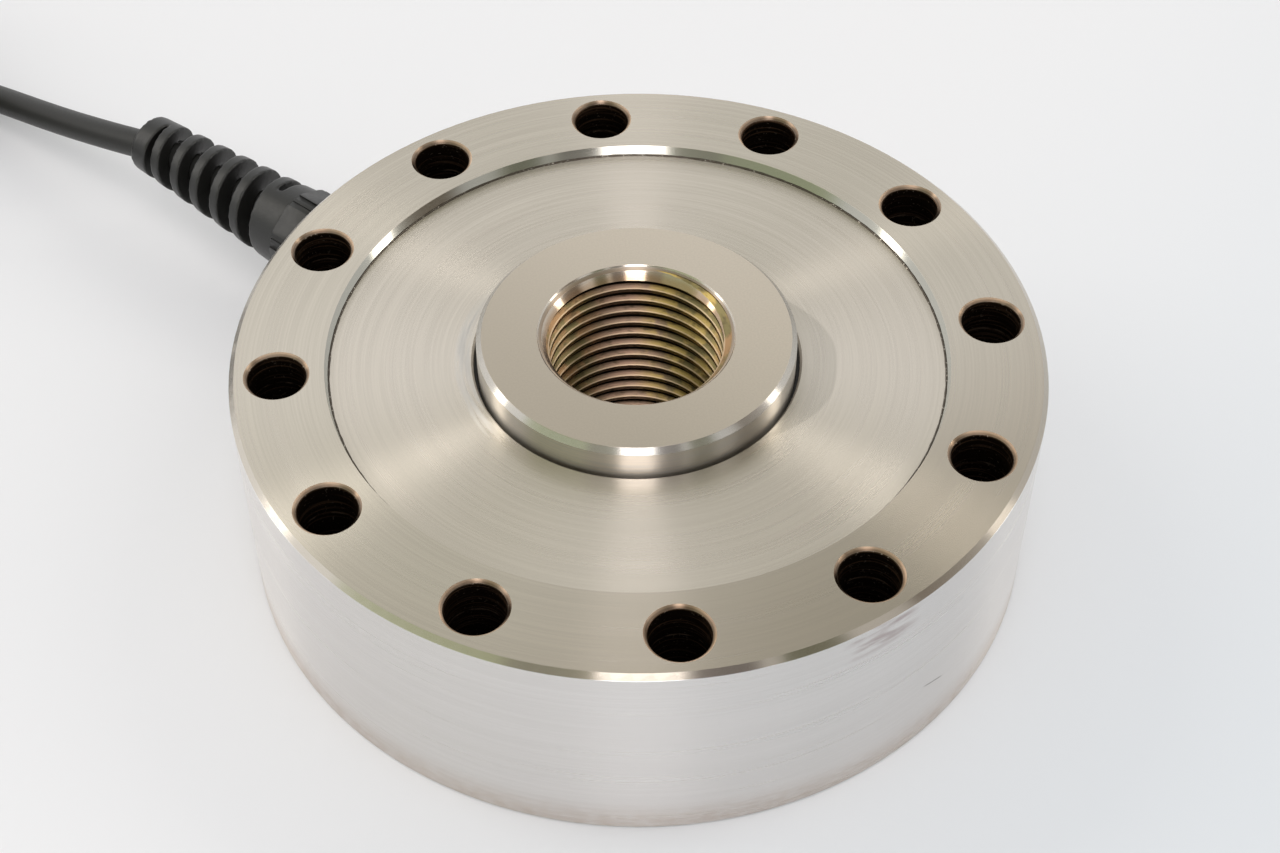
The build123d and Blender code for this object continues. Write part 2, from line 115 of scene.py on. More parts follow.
def gland_place():
    """The gland's axis as local Z, with local X up."""
    along = Vector((cos(GLAND_ANGLE), sin(GLAND_ANGLE), 0))
    up = Vector((0, 0, 1))
    matrix = Matrix((up, along.cross(up), along)).transposed().to_4x4()
    matrix.translation = Vector((0, 0, GLAND_HEIGHT))
    return matrix


# Settings


def length(name, description, millimetres):
    return FloatProperty(
        name=name, description=description, default=millimetres * MM, unit="LENGTH", precision=5
    )


def angle(name, description, degree_value):
    return FloatProperty(name=name, description=description, default=radians(degree_value), unit="ROTATION")


def factor(name, description, value):
    return FloatProperty(name=name, description=description, default=value, min=0.0, subtype="FACTOR")


def colour(name, description, value):
    return FloatVectorProperty(
        name=name, description=description, default=value, size=3, min=0.0, max=1.0, subtype="COLOR"
    )


class CameraSettings(bpy.types.PropertyGroup):
    focal_length: FloatProperty(
        name="Focal Length", description="Lens on a 36 mm sensor", default=61.88, unit="CAMERA"
    )
    distance: length("Distance", "From the lens to the target", 398.45)
    target: FloatVectorProperty(
        name="Target", description="Point that the camera faces", size=3, subtype="TRANSLATION",
        default=(-15.11 * MM, -20.57 * MM, 45.0 * MM), unit="LENGTH",
    )
    azimuth: angle("Azimuth", "Turn round the vertical", -3.511)
    elevation: angle("Elevation", "Height over the floor", 47.394)
    roll: angle("Roll", "Turn about the line of sight", -1.942)
    shift_x: FloatProperty(name="Shift X", description="Sideways shift of the lens", default=0.0582)
    shift_y: FloatProperty(name="Shift Y", description="Upward shift of the lens", default=0.0061)


class CableSettings(bpy.types.PropertyGroup):
    diameter: length("Cable Diameter", "Over the jacket", 6.5)
    coil_x: length("Coil X", "Centre of the coil", -204.9)
    coil_y: length("Coil Y", "Centre of the coil", 142.9)
    coil_radius: length("Coil Radius", "Middle turn of the coil", 35.75)
    join_angle: angle("Join Angle", "Where the cable joins the outer turn", 45)
    crossing_angle: angle("Crossing Angle", "Where a turn starts to move to the next column", 325)
    crossing_width: angle("Crossing Width", "How far a turn needs for that", 90)
    climb_bulge: length("Climb Bulge", "How far a turn swings out where it climbs a layer", 1.5)
    tail_start: angle("Tail Start", "Where the last turn leaves the coil", 70)
    tail_end: angle("Tail End", "Where the jacket ends on top of the coil", 155)
    core_diameter: length("Core Diameter", "Over the insulation", 1.2)
    core_circle: length("Core Circle", "Circle of the cores in the cable", 3.2)


class NutSettings(bpy.types.PropertyGroup):
    start: length("Nut Start", "Along the gland's axis", 82.5)
    grip_end: length("Grip End", "Where the hexagon ends", 91.7)
    spiral_start: length("Spiral Start", "Where the slot starts", 96.3)
    spiral_end: length("Spiral End", "Where the slot ends", 134.1)
    end: length("Boot End", "The boot's mouth", 138.6)
    across_flats: length("Across Flats", "Of the hexagon", 18.8)
    corner_diameter: length("Corner Diameter", "Over the turned corners", 20.0)
    corner_angle: angle("Corner Angle", "Turn of the first corner from upright", -5.5)
    collar_diameter: length("Collar Diameter", "At the hexagon", 18.6)
    waist_diameter: length("Waist Diameter", "Half way along the spiral", 15.7)
    end_diameter: length("End Diameter", "At the boot's mouth", 12.9)
    bore_diameter: length("Bore Diameter", "Inside the spiral", 7.4)
    slot_width: length("Slot Width", "Across the spiral's slot", 3.8)
    slot_pitch: length("Slot Pitch", "Advance of the slot in one turn", 6.6)
    groove_angle: angle("Groove Angle", "From each corner to the grip groove beside it", 6)
    voxel: length("Mesh Size", "Of the rounded boot", 0.28)


class ThreadSettings(bpy.types.PropertyGroup):
    pitch: length("Pitch", "Of the right-hand thread", 3.0)
    crest_radius: length("Cutter Radius", "Inner radius of the cutting band", 16.1)
    root_radius: length("Root Radius", "Bottom of the thread", 18.0)
    crest_gap: length("Crest Gap", "Width of the cut at the cutter's inner radius", 2.568)
    root_gap: length("Root Gap", "Width of the cut at the bottom", 0.375)
    phase_angle: angle("Start Angle", "Direction in which the cut is at the start height", 86.5)
    phase_height: length("Start Height", "Height of the cut there", 42.7)


class SteelSettings(bpy.types.PropertyGroup):
    colour: colour("Ring", "Turned stainless steel", (0.66, 0.61, 0.535))
    # the ring's colour in the painted shade towards the front right
    shaded_colour: colour("Ring In Painted Shade", "The ring's duller side", (0.48, 0.43, 0.36))
    cover_colour: colour("Cover", "Turned sheet of the covers", (0.71, 0.655, 0.585))
    hub_colour: colour("Hub Face", "Duller blasted face", (0.54, 0.482, 0.408))
    # the wall is paler than the ring partly as a painted reflection of the pale floor
    wall_colour: colour("Outer Wall", "Paler turned wall", (0.77, 0.745, 0.725))
    tint: colour("Heat Tint", "Bronze edge of the bolt holes", (0.60, 0.42, 0.28))
    mouth_tint: colour("Mouth Tint", "Heat tint on the bore's chamfer", (0.48, 0.31, 0.17))
    soot: colour("Bore Inside", "Dark scale in the holes", (0.34, 0.21, 0.13))
    roughness: factor("Roughness", "Of the turned faces", 0.26)
    bead_radius: length("Weld Radius", "Middle of the weld bead", 57.95)
    bead_size: length("Weld Size", "Thickness of the bead", 0.28)


class StudioSettings(bpy.types.PropertyGroup):
    floor: colour("Floor", "Pale floor", (0.85, 0.86, 0.87))
    # the floor's colour in its painted shade
    floor_in_shade: colour("Floor In Painted Shade", "The floor's duller side", (0.72, 0.765, 0.80))
    world: factor("World", "Strength of the room's light", 0.68)
    walls: factor("Pale Walls", "Brightness of the room's walls in the steel", 1.08)
    ceiling: factor("Dull Ceiling", "Brightness of the room's ceiling in the steel", 0.52)
    window: colour("Green Side", "The room far left behind the camera", (0.54, 0.60, 0.40))
    corner: colour("Grey Side", "The room left behind the camera", (0.34, 0.34, 0.27))
    curtain: colour("Violet Side", "The room just right behind the camera", (0.27, 0.245, 0.255))
    shelf: colour("Olive Side", "The room further right behind the camera", (0.28, 0.29, 0.21))
    door: colour("Brown Side", "The room right of the camera", (0.26, 0.21, 0.165))
    left: factor("Left Lamp", "Power of the left soft box", 6.1)
    right: factor("Right Lamp", "Power of the right soft box", 6.0)
    front: factor("Front Lamp", "Power of the upper front soft box", 10.0)


class LoadCellSettings(bpy.types.PropertyGroup):
    camera: PointerProperty(type=CameraSettings, name="Camera", description="View")
    cable: PointerProperty(type=CableSettings, name="Cable", description="Cable and coil")
    nut: PointerProperty(type=NutSettings, name="Nut", description="Gland nut with its spiral")
    thread: PointerProperty(type=ThreadSettings, name="Thread", description="Centre thread")
    steel: PointerProperty(type=SteelSettings, name="Steel", description="Finish of the steel")
    studio: PointerProperty(type=StudioSettings, name="Studio", description="Floor and lamps")


# Shaders


class Value:
    """A number or colour in a shader; arithmetic on numbers adds Math nodes."""

    def __init__(self, shader, socket):
        self.shader = shader
        self.socket = socket

    def math(self, operation, *others):
        return self.shader.add("ShaderNodeMath", {"operation": operation}, dict(enumerate((self, *others))))

    def __add__(self, other):
        return self.math("ADD", other)

    def __sub__(self, other):
        return self.math("SUBTRACT", other)

    def __mul__(self, other):
        return self.math("MULTIPLY", other)

    def __truediv__(self, other):
        return self.math("DIVIDE", other)

    def __pow__(self, other):
        return self.math("POWER", other)

    def __rsub__(self, other):
        return self.shader.add("ShaderNodeMath", {"operation": "SUBTRACT"}, {0: other, 1: self})

    __radd__ = __add__
    __rmul__ = __mul__

    def step(self, low, high):
        """0 at low, 1 at high, and smooth between."""
        settings = {"interpolation_type": "SMOOTHSTEP"}
        inputs = {"Value": self, "From Min": low, "From Max": high}
        return self.shader.add("ShaderNodeMapRange", settings, inputs)

    def band(self, centre, width, soft):
        """1 within half the width of the centre, and 0 past the soft edge."""
        return 1 - (self - centre).math("ABSOLUTE").step(width / 2, width / 2 + soft)


class Nodes:
    """A node tree under construction."""

    def __init__(self, tree):
        self.tree = tree

    def add(self, kind, settings, inputs, output=0):
        """Adds one node: its settings first, then a value or a link for each named socket."""
        node = self.tree.nodes.new(kind)
        for name, value in settings.items():
            setattr(node, name, value)
        for name, value in inputs.items():
            self.connect(node.inputs[name], value)
        return Value(self, node.outputs[output])

    def connect(self, socket, value):
        if isinstance(value, Value):
            self.tree.links.new(value.socket, socket)
        elif socket.type == "RGBA":
            socket.default_value = (*value, 1.0)
        else:
            socket.default_value = value

    def split(self, vector):
        """x, y and z of a vector."""
        return [self.add("ShaderNodeSeparateXYZ", {}, {0: vector}, axis) for axis in "XYZ"]

    def position(self):
        """x, y and z of the piece, in metres."""
        return self.split(self.add("ShaderNodeTexCoord", {}, {}, "Object"))

    def normal(self):
        """x, y and z of the shading normal."""
        return self.split(self.add("ShaderNodeNewGeometry", {}, {}, "Normal"))

    def vector(self, x, y, z):
        return self.add("ShaderNodeCombineXYZ", {}, {0: x, 1: y, 2: z})

    def noise(self, x, y, z, detail=2.0):
        """Noise at a place that is already scaled, one unit to a blotch."""
        inputs = {"Vector": self.vector(x, y, z), "Scale": 1.0, "Detail": detail}
        return self.add("ShaderNodeTexNoise", {}, inputs, "Fac")

    def mix(self, share, first, second):
        """A colour between two colours."""
        return self.add("ShaderNodeMix", {"data_type": "RGBA"}, {0: share, 6: first, 7: second}, 2)


class Shader(Nodes):
    """A Principled material under construction."""

    def __init__(self, name, **constants):
        self.material = bpy.data.materials.new(name)
        self.material.use_nodes = True
        super().__init__(self.material.node_tree)
        self.principled = self.tree.nodes["Principled BSDF"]
        for socket, value in constants.items():
            self.set(socket.replace("_", " "), value)

    def set(self, name, value):
        self.connect(self.principled.inputs[name], value)

    def whole(self):
        """The Principled shader's own output."""
        return Value(self, self.principled.outputs[0])

    def bump(self, height, distance):
        inputs = {"Height": height, "Distance": distance, "Strength": 1.0}
        self.set("Normal", self.add("ShaderNodeBump", {}, inputs))


def turning_marks(shader, x, y, z, radius, per_metre, along):
    """Noise stretched round the axis: fine rings on a face, fine lines on a wall."""
    return shader.noise(x / radius * along, y / radius * along, (radius + z) * per_metre, 3.0)


def from_bolt_hole(x, y, radius):
    """Distance to the nearest bolt hole's axis."""
    sector = 2 * pi / BOLT_COUNT
    local = (y.math("ARCTAN2", x) + sector / 2).math("FLOORED_MODULO", sector) - sector / 2
    dx = radius * local.math("COSINE") - BOLT_CIRCLE_RADIUS
    dy = radius * local.math("SINE")
    return (dx * dx + dy * dy) ** 0.5


def thread_colour(shader, x, y, z, radius):
    """Heat-tinted thread: olive and bronze blotches, rose towards the back, gold blotches with a painted
    highlight on the right side, a painted highlight on the crest edges and painted shade, black, in the
    root.
    """
    around = y.math("ARCTAN2", x)
    blotches = shader.noise(x * 220, y * 220, z * 260, 4.0)
    streaks = shader.noise(x * 500, y * 500, z * 2200, 4.0)
    back = around.band(radians(88), radians(26), radians(24))
    right = around.band(radians(48), radians(30), radians(26))
    colours = shader.mix(blotches.step(0.42, 0.6), THREAD_OLIVE, THREAD_BRONZE)
    colours = shader.mix(back * 0.8, colours, THREAD_ROSE)
    # painted highlight, in gold blotches, on the bore's right side
    colours = shader.mix(right * blotches.step(0.4, 0.55), colours, THREAD_GOLD_HIGHLIGHT)
    colours = shader.mix(streaks.step(0.5, 0.75) * 0.7, colours, THREAD_DIRT)
    # painted highlight where the worn crest edges catch light
    edge = radius.band(16.5 * MM, 0.14 * MM, 0.06 * MM)
    colours = shader.mix(edge * 0.7, colours, THREAD_EDGE_HIGHLIGHT)
    below_mouth = 1 - z.step(HUB_TOP - 3.0 * MM, HUB_TOP - 2.2 * MM)
    # painted shade: the thread's root is coloured black below the bore's mouth
    return shader.mix(radius.step(17.3 * MM, 17.5 * MM) * below_mouth, colours, THREAD_ROOT_SHADE)


def painted_shade_side(x, y):
    """How much painted shade darkens the steel towards the front right."""
    return (x * 0.5 - y * 0.87).step(16 * MM, 78 * MM)


def wall_colour(shader, steel, x, y, z, fine, mottled):
    """Pale turned wall, paler partly as a painted reflection of the pale floor, with a brownish foot, dark
    smears and one scratch.
    """
    around = y.math("ARCTAN2", x) * RING_RADIUS
    foot = 1 - z.step(1 * MM, 9 * MM)
    # painted reflection: the wall's paler colour stands partly for the floor seen in it
    wall = shader.mix(foot * mottled, tuple(steel.wall_colour), WALL_FOOT)
    patch = around.band(radians(-63) * RING_RADIUS, 8 * MM, 5 * MM) * z.band(41 * MM, 3.5 * MM, 3 * MM)
    smear = shader.noise(around * 90, z * 500, 0, 4.0).step(0.42, 0.62) * patch
    wall = shader.mix(smear * 0.7, wall, WALL_SMEAR)
    wall = shader.mix(fine.step(0.35, 0.65) * 0.06, wall, WALL_GROOVE)
    across = around - radians(-51.8) * RING_RADIUS
    up = z - 14.8 * MM
    lengthwise = across * 0.96 - up * 0.28
    sidewise = up * 0.96 + across * 0.28
    scratch = lengthwise.band(0, 4.2 * MM, 0.8 * MM) * sidewise.band(0, 0.1 * MM, 0.08 * MM)
    return shader.mix(scratch, wall, SCRATCH)


def hub_colour(shader, steel, x, y):
    """Blasted hub face with a fine grain, and painted light that makes it brighter towards the back right.
    """
    grain = shader.noise(x * 2600, y * 2600, 0)
    # painted light: the hub face is lighter towards the back right
    painted_light = (x * 0.8 + y * 0.6).step(-28 * MM, 28 * MM)
    face = shader.mix(painted_light, tuple(steel.hub_colour), HUB_PAINTED_LIGHT)
    return shader.mix(grain.step(0.3, 0.7) * 0.12, face, HUB_GRAIN)


def hole_colour(shader, steel, x, y, z, mottled):
    """Painted shade, near black, in a bolt hole, with rings of dark scale, a lighter brown band at the
    ledge and pale specks.
    """
    rings = shader.noise(x * 60, y * 60, z * 1800, 3.0)
    # painted shade: the hole's wall is near black between rings of scale
    hole = shader.mix(rings.step(0.5, 0.8), HOLE_PAINTED_SHADE, tuple(steel.soot))
    ledge = z.band(RING_HEIGHT - 7.5 * MM, 0.2 * MM, 0.2 * MM) * mottled.step(0.4, 0.6)
    hole = shader.mix(ledge * 0.8, hole, HOLE_LEDGE)
    specks = shader.noise(x * 1900, y * 1900, z * 1900, 1.0).step(0.66, 0.72)
    return shader.mix(specks * 0.6, hole, HOLE_SPECK)


def body_steel(steel):
    """Turned steel with polished chamfers, a matt hub face, tinted bores and holes darkened with painted
    shade.
    """
    shader = Shader("turned steel", Metallic=1.0, Anisotropic=1.0, Anisotropic_Rotation=0.25)
    x, y, z = shader.position()
    radius = (x * x + y * y) ** 0.5
    fine = turning_marks(shader, x, y, z, radius, 2400, 1.2)
    coarse = turning_marks(shader, x, y, z, radius, 320, 0.7)
    mottled = shader.noise(x * 400, y * 400, z * 900, 4.0)

    from_hole = from_bolt_hole(x, y, radius)
    in_hole = 1 - from_hole.step(HOLE_RADIUS + 0.1 * MM, HOLE_RADIUS + 0.18 * MM)
    outside_mouth = from_hole.step(HOLE_MOUTH_RADIUS - 0.02 * MM, HOLE_MOUTH_RADIUS + 0.02 * MM)
    in_chamfer = (1 - outside_mouth) * (1 - in_hole)
    hub_face = z.step(HUB_TOP - 0.05 * MM, HUB_TOP - 0.02 * MM)
    hub_side = radius.band(HUB_RADIUS - 0.5 * MM, 1.0 * MM, 0.1 * MM) * (1 - hub_face)
    chamfer = shader.normal()[2].band(cos(pi / 4), 0.12, 0.04) * (1 - in_hole)
    in_bore = 1 - radius.step(BORE_MOUTH_RADIUS - 0.1 * MM, BORE_MOUTH_RADIUS + 0.1 * MM)
    in_thread = in_bore * (1 - chamfer) * (1 - hub_face)
    mouth_band = radius.band(18.05 * MM, 0.45 * MM, 0.1 * MM)
    wall = radius.step(RING_RADIUS - 0.1 * MM, RING_RADIUS - 0.05 * MM)
    below_ring = 1 - z.step(RING_HEIGHT - 0.1 * MM, RING_HEIGHT - 0.02 * MM)
    lip = radius.band(58.33 * MM, 0.5 * MM, 0.05 * MM) * below_ring

    # painted shade: the ring is darker towards the front right
    base = shader.mix(painted_shade_side(x, y), tuple(steel.colour), tuple(steel.shaded_colour))
    base = shader.mix(fine.step(0.3, 0.7) * 0.14, base, GROOVE)
    base = shader.mix(hub_side * (0.3 + 0.7 * fine.step(0.35, 0.65)), base, HUB_SIDE)
    # painted shade: the narrow lip of the recess is darker
    base = shader.mix(lip, base, LIP_PAINTED_SHADE)
    base = shader.mix(hub_face, base, hub_colour(shader, steel, x, y))
    base = shader.mix(wall, base, wall_colour(shader, steel, x, y, z, fine, mottled))
    bronze = shader.mix(from_hole.step(5.75 * MM, 6.1 * MM), HOLE_EDGE, tuple(steel.tint))
    base = shader.mix(in_chamfer * (0.6 + 0.4 * mottled), base, bronze)
    tinge = (1 - radius.step(16.6 * MM, 18.7 * MM)) * (0.65 + 0.5 * mottled)
    tinted = (in_bore * chamfer * (tinge * 0.75 + mouth_band * 0.3)).step(0, 1)
    base = shader.mix(tinted, base, tuple(steel.mouth_tint))
    base = shader.mix(in_thread, base, thread_colour(shader, x, y, z, radius))
    base = shader.mix(in_hole, base, hole_colour(shader, steel, x, y, z, mottled))
    shader.set("Base Color", base)

    rough = steel.roughness + (fine - 0.5) * 0.07 + (coarse - 0.5) * 0.07
    rough = rough * (1 - chamfer * 0.3 + hub_side * 0.15)
    shader.set("Roughness", rough + in_hole * 0.28 + in_chamfer * 0.28 + mouth_band * chamfer * 0.3)
    ground = shader.add("ShaderNodeBsdfPrincipled", {}, {
        "Base Color": base, "Metallic": 1.0, "Anisotropic": 0.0,
        "Roughness": 0.3 + in_thread * 0.15 + in_hole * 0.2,
    })
    even = hub_face.math("MAXIMUM", in_thread).math("MAXIMUM", in_hole)
    mixed = shader.add("ShaderNodeMixShader", {}, {0: even, 1: shader.whole(), 2: ground})
    shader.connect(shader.tree.nodes["Material Output"].inputs["Surface"], mixed)
    return shader.material


def cover_steel(steel):
    """Turned face of the covers, with a painted dark reflection of the hub on its right side and a cloudy
    smear on the other.
    """
    shader = Shader("cover steel", Metallic=1.0, Anisotropic=1.0, Anisotropic_Rotation=0.25)
    x, y, z = shader.position()
    radius = (x * x + y * y) ** 0.5
    around = y.math("ARCTAN2", x)
    fine = turning_marks(shader, x, y, z, radius, 2400, 1.2)
    coarse = turning_marks(shader, x, y, z, radius, 260, 0.7)
    side = 1 - (around.math("ABSOLUTE") - pi).math("ABSOLUTE").step(radians(18), radians(45))
    cloud = shader.noise(x * 90, y * 90, radius * 900, 4.0)
    smear = side * radius.band(32.6 * MM, 1.6 * MM, 1.2 * MM) * cloud.step(0.35, 0.65)
    # a little of the same painted shade on the covers towards the front right
    base = shader.mix(painted_shade_side(x, y) * 0.1, tuple(steel.cover_colour), tuple(steel.shaded_colour))
    base = shader.mix(fine.step(0.3, 0.7) * 0.12, base, GROOVE)
    # painted reflection: a darker crescent to the right of the hub, where the hub is seen in the cover
    reach = HUB_RADIUS + 7.5 * MM * around.band(radians(-12), radians(14), radians(42))
    hub_reflection = 1 - (radius - reach).step(-0.3 * MM, 0.4 * MM)
    base = shader.mix(hub_reflection * 0.3, base, HUB_REFLECTION_SHADE)
    shader.set("Base Color", shader.mix(smear * 0.6, base, CLOUD))
    rough = steel.roughness + (fine - 0.5) * 0.1 + (coarse - 0.5) * 0.08
    shader.set("Roughness", rough + smear * 0.2)
    return shader.material


def weld_metal():
    """Dark bead with small bright spots."""
    shader = Shader("weld metal", Metallic=1.0, Roughness=0.35)
    x, y, z = shader.position()
    spots = shader.noise(x * 2400, y * 2400, z * 2400, 1.0).step(0.64, 0.72)
    shader.set("Base Color", shader.mix(spots, WELD_DARK, WELD_SPOT))
    return shader.material


def moulded(name, colour_value, roughness, grain=900, depth=0.02 * MM, specular=0.5):
    """Moulded or extruded plastic and rubber with a fine grain."""
    shader = Shader(name, Base_Color=colour_value, Specular_IOR_Level=specular)
    x, y, z = shader.position()
    grains = shader.noise(x * grain, y * grain, z * grain)
    shader.set("Roughness", roughness + (grains - 0.5) * 0.15)
    shader.bump(grains, depth)
    return shader.material


def plain(name, colour_value, roughness, metallic=0.0):
    return Shader(name, Base_Color=colour_value, Roughness=roughness, Metallic=metallic).material


def finish(piece, material):
    """Gives a piece its one material."""
    piece.data.materials.clear()
    piece.data.materials.append(material)


# Mesh tools


def deselect_all():
    if bpy.context.object and bpy.context.object.mode != "OBJECT":
        bpy.ops.object.mode_set(mode="OBJECT")
    bpy.ops.object.select_all(action="DESELECT")


def lathe(name, profile, segments):
    """A closed turned piece along Z: a disc extruded and scaled from one (radius, height) to the next."""
    deselect_all()
    radius, height = profile[0]
    bpy.ops.mesh.primitive_circle_add(
        vertices=segments, radius=radius, fill_type="NGON", location=(0, 0, height),
    )
    piece = bpy.context.object
    piece.name = name
    bpy.ops.object.transform_apply(location=True)
    bpy.ops.object.mode_set(mode="EDIT")
    bpy.ops.mesh.select_all(action="SELECT")
    for next_radius, next_height in profile[1:]:
        bpy.ops.mesh.extrude_region_move(TRANSFORM_OT_translate={"value": (0, 0, next_height - height)})
        ratio = next_radius / radius
        bpy.ops.transform.resize(value=(ratio, ratio, 1), center_override=(0, 0, next_height))
        radius, height = next_radius, next_height
    bpy.ops.mesh.select_all(action="SELECT")
    bpy.ops.mesh.normals_make_consistent(inside=False)
    bpy.ops.object.mode_set(mode="OBJECT")
    return piece


def apply_modifier(piece, kind, **settings):
    modifier = piece.modifiers.new(kind.title(), kind)
    for name, value in settings.items():
        setattr(modifier, name, value)
    deselect_all()
    piece.select_set(True)
    bpy.context.view_layer.objects.active = piece
    bpy.ops.object.modifier_apply(modifier=modifier.name)


def cut(piece, tool, operation="DIFFERENCE"):
    """An exact boolean, after which the tool is gone."""
    apply_modifier(piece, "BOOLEAN", operation=operation, solver="EXACT", object=tool)
    bpy.data.objects.remove(tool)


def screwed_band(name, corners, pitch, turns, steps):
    """A closed helical band along Z whose section has the given (radius, height) corners."""
    deselect_all()
    bpy.ops.mesh.primitive_plane_add(size=1)
    band = bpy.context.object
    band.name = name
    mesh = bmesh.new()
    mesh.from_mesh(band.data)
    ring = [loop.vert for loop in mesh.faces[:][0].loops]
    for vertex, (radius, height) in zip(ring, corners):
        vertex.co = (radius, 0, height)
    bmesh.ops.delete(mesh, geom=mesh.faces[:], context="FACES_ONLY")
    mesh.to_mesh(band.data)
    mesh.free()
    apply_modifier(
        band, "SCREW", screw_offset=pitch, iterations=turns, steps=steps, render_steps=steps,
        use_merge_vertices=False, use_smooth_shade=False,
    )
    bpy.ops.object.mode_set(mode="EDIT")
    bpy.ops.mesh.select_mode(type="EDGE")
    bpy.ops.mesh.select_all(action="DESELECT")
    bpy.ops.mesh.select_non_manifold()
    bpy.ops.mesh.fill_holes(sides=8)
    bpy.ops.mesh.select_all(action="SELECT")
    bpy.ops.mesh.normals_make_consistent(inside=False)
    bpy.ops.object.mode_set(mode="OBJECT")
    return band


def shade(piece, limit):
    """Smooth shading, except over edges sharper than the limit in degrees."""
    deselect_all()
    piece.select_set(True)
    bpy.context.view_layer.objects.active = piece
    bpy.ops.object.shade_smooth_by_angle(angle=radians(limit))


def merged_copy(name, node):
    """A copy of a CAD node with its doubled vertices merged."""
    piece = nodes[node].copy()
    piece.data = nodes[node].data.copy()
    piece.name = name
    piece.parent = None
    bpy.context.scene.collection.objects.link(piece)
    deselect_all()
    piece.select_set(True)
    bpy.context.view_layer.objects.active = piece
    bpy.ops.object.mode_set(mode="EDIT")
    bpy.ops.mesh.select_all(action="SELECT")
    bpy.ops.mesh.remove_doubles(threshold=1e-6)
    bpy.ops.object.mode_set(mode="OBJECT")
    bpy.ops.mesh.customdata_custom_splitnormals_clear()
    return piece


def turned_normals(piece, axes):
    """Exact normals on faces turned about upright axes, each an (x, y, reach) place.

    The recess's narrow lip is shaded as the polished 45 degree edge that it is seen as.
    """
    mesh = piece.data
    normals = [corner.vector.copy() for corner in mesh.corner_normals]
    for face in mesh.polygons:
        centre, facing = face.center, face.normal.copy()
        from_axis = hypot(centre.x, centre.y)
        on_lip = LIP_INSIDE < from_axis < LIP_OUTSIDE and centre.z > COVER_FACE
        if on_lip and 0.1 < facing.z < 0.9:
            facing = Vector((-centre.x, -centre.y, from_axis)).normalized()
        if abs(facing.z) > 0.9995:
            for loop in face.loop_indices:
                normals[loop] = facing.copy()
            continue
        for x, y, reach in axes:
            out = Vector((centre.x - x, centre.y - y))
            if out.length > reach:
                continue
            out.normalize()
            across = facing.x * -out.y + facing.y * out.x
            radial = facing.x * out.x + facing.y * out.y
            if abs(across) < 0.16 * abs(radial) and abs(facing.z) < 0.9:
                for loop in face.loop_indices:
                    place = mesh.vertices[mesh.loops[loop].vertex_index].co
                    away = Vector((place.x - x, place.y - y)).normalized() * radial
                    normals[loop] = Vector((away.x, away.y, facing.z)).normalized()
                break
    mesh.normals_split_custom_set(normals)


def curve_cord(name, points, diameter, resolution, bevel):
    """A round cord on one smooth curve through its control points.

    The points' radius holds its thickness, because a curve's box reaches that far past its points.
    """
    data = bpy.data.curves.new(name, "CURVE")
    data.dimensions = "3D"
    spline = data.splines.new("NURBS")
    spline.points.add(len(points) - 1)
    for point, place in zip(spline.points, points):
        point.co = (*place, 1.0)
        point.radius = diameter / 2
    spline.order_u = 3
    spline.use_endpoint_u = True
    data.resolution_u = resolution
    data.render_resolution_u = resolution
    data.bevel_depth = 1
    data.bevel_resolution = bevel
    data.use_fill_caps = True
    cord = bpy.data.objects.new(name, data)
    bpy.context.scene.collection.objects.link(cord)
    return cord


def curve_length(cord):
    """Length of a cord's own line, from its curve without thickness."""
    cord.data.bevel_depth = 0
    bpy.context.view_layer.update()
    line = cord.to_mesh()
    places = [vertex.co for vertex in line.vertices]
    total = sum((places[edge.vertices[0]] - places[edge.vertices[1]]).length for edge in line.edges)
    cord.to_mesh_clear()
    cord.data.bevel_depth = 1
    return total


# Camera


class LOADCELL_OT_camera(bpy.types.Operator):
    """Places the camera at the view's angle, with its roll and lens shift"""

    bl_idname = "loadcell.camera"
    bl_label = "Place Camera"

    def execute(self, context):
        view = context.scene.load_cell.camera
        azimuth, elevation = view.azimuth, view.elevation
        back = Vector((sin(azimuth) * cos(elevation), -cos(azimuth) * cos(elevation), sin(elevation)))
        level = Vector((cos(azimuth), sin(azimuth), 0))
        raised = back.cross(level)
        right = cos(view.roll) * level + sin(view.roll) * raised
        up = cos(view.roll) * raised - sin(view.roll) * level
        deselect_all()
        bpy.ops.object.camera_add()
        camera = context.object
        camera.matrix_world = Matrix.LocRotScale(
            Vector(view.target) + view.distance * back, Matrix((right, up, back)).transposed(), None
        )
        camera.data.sensor_width = 36
        camera.data.lens = view.focal_length
        camera.data.shift_x = view.shift_x
        camera.data.shift_y = view.shift_y
        camera.data.clip_start = 10 * MM
        context.scene.camera = camera
        return {"FINISHED"}


# Cable


def smooth(value):
    value = min(1.0, max(0.0, value))
    return value * value * (3 - 2 * value)


def coil_place(cable, turned_angle, radius, height):
    return (
        cable.coil_x + radius * cos(turned_angle),
        cable.coil_y + radius * sin(turned_angle),
        height,
    )


def turn_moves(cable):
    """For each turn but the last: start angle, columns moved inwards and layers climbed."""
    moves = []
    inwards = 1
    for turn in range(COIL_TURNS):
        start = cable.crossing_angle + 2 * pi * turn
        if turn % COIL_COLUMNS == COIL_COLUMNS - 1:
            moves.append((start, 0, 1))
            inwards = -inwards
        else:
            moves.append((start, inwards, 0))
    return moves


def wound(cable, turned_angle):
    """Radius and height of the cable in the coil at an angle counted through all turns."""
    diameter = cable.diameter
    radius = cable.coil_radius + diameter
    height = COIL_LOW.z + diameter / 2
    for start, inwards, climbed in turn_moves(cable):
        share = (turned_angle - start) / cable.crossing_width
        radius -= diameter * inwards * smooth(share)
        height += diameter * climbed * smooth(share)
        if climbed and 0 < share < 1:
            side = 1 if radius > cable.coil_radius else -1
            radius += side * cable.climb_bulge * sin(pi * share) ** 2
    return radius, height


